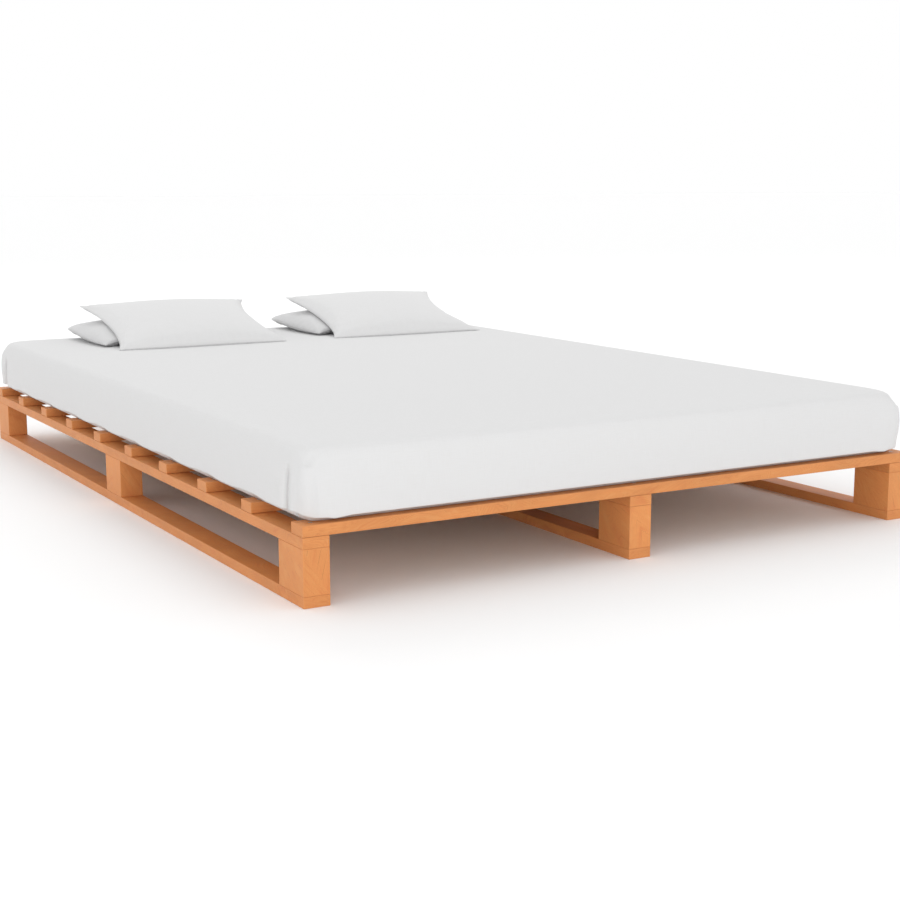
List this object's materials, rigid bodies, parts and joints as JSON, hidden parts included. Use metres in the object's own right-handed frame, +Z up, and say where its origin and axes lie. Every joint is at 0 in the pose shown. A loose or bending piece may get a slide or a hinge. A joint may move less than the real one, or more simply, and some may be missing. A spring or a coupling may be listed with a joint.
{
  "type": "pallet bed",
  "caption": "Low pine pallet bed: cross slats on rails, blocks and floor runners, open at the sides, with a mattress in a white fitted sheet and stacked pillows at the head.",
  "frame": {"origin": "On the floor, under the middle of the bed: the centre of the underside of its bounding box.", "axes": "+Y runs along the bed from the foot end to the head end, +X across it to the right of someone who looks from the foot, +Z up."},
  "size_m": [1.4, 2, 0.3801],
  "materials": {
    "slat_pine": "satin",
    "rail_pine": "satin",
    "runner_pine": "satin",
    "block_pine": "satin",
    "screw_steel": "satin",
    "mattress_cover": "matte",
    "sheet_cotton": "matte",
    "pillow_lower_cotton": "matte",
    "pillow_upper_cotton": "matte"
  },
  "bodies": {
    "bed_frame": {"slat_01": "slat_pine", "slat_02": "slat_pine", "slat_03": "slat_pine", "slat_04": "slat_pine", "slat_05": "slat_pine", "slat_06": "slat_pine", "slat_07": "slat_pine", "slat_08": "slat_pine", "slat_09": "slat_pine", "slat_10": "slat_pine", "top_rail_left": "rail_pine", "top_rail_centre": "rail_pine", "top_rail_right": "rail_pine", "bottom_runner_left": "runner_pine", "bottom_runner_centre": "runner_pine", "bottom_runner_right": "runner_pine", "block_left_foot": "block_pine", "block_left_middle": "block_pine", "block_left_head": "block_pine", "block_centre_foot": "block_pine", "block_centre_middle": "block_pine", "block_centre_head": "block_pine", "block_right_foot": "block_pine", "block_right_middle": "block_pine", "block_right_head": "block_pine", "leg_screw_left_foot_1": "screw_steel", "leg_screw_left_foot_2": "screw_steel", "leg_screw_left_middle_1": "screw_steel", "leg_screw_left_middle_2": "screw_steel", "leg_screw_left_head_1": "screw_steel", "leg_screw_left_head_2": "screw_steel", "leg_screw_centre_foot_1": "screw_steel", "leg_screw_centre_foot_2": "screw_steel", "leg_screw_centre_middle_1": "screw_steel", "leg_screw_centre_middle_2": "screw_steel", "leg_screw_centre_head_1": "screw_steel", "leg_screw_centre_head_2": "screw_steel", "leg_screw_right_foot_1": "screw_steel", "leg_screw_right_foot_2": "screw_steel", "leg_screw_right_middle_1": "screw_steel", "leg_screw_right_middle_2": "screw_steel", "leg_screw_right_head_1": "screw_steel", "leg_screw_right_head_2": "screw_steel"},
    "mattress": {"mattress": "mattress_cover", "fitted_sheet": "sheet_cotton"},
    "pillow_lower_left": {"pillow_lower_left": "pillow_lower_cotton"},
    "pillow_upper_left": {"pillow_upper_left": "pillow_upper_cotton"},
    "pillow_lower_right": {"pillow_lower_right": "pillow_lower_cotton"},
    "pillow_upper_right": {"pillow_upper_right": "pillow_upper_cotton"}
  },
  "joints": [
    {"name": "mattress_lift", "type": "slide", "parent": "bed_frame", "child": "mattress", "axis": [0, 0, 1], "range_m": [0, 0.3]},
    {"name": "pillow_lower_left_lift", "type": "slide", "parent": "mattress", "child": "pillow_lower_left", "axis": [0, 0, 1], "range_m": [0, 0.25]},
    {"name": "pillow_upper_left_lift", "type": "slide", "parent": "pillow_lower_left", "child": "pillow_upper_left", "axis": [0, 0, 1], "range_m": [0, 0.25]},
    {"name": "pillow_lower_right_lift", "type": "slide", "parent": "mattress", "child": "pillow_lower_right", "axis": [0, 0, 1], "range_m": [0, 0.25]},
    {"name": "pillow_upper_right_lift", "type": "slide", "parent": "pillow_lower_right", "child": "pillow_upper_right", "axis": [0, 0, 1], "range_m": [0, 0.25]}
  ]
}
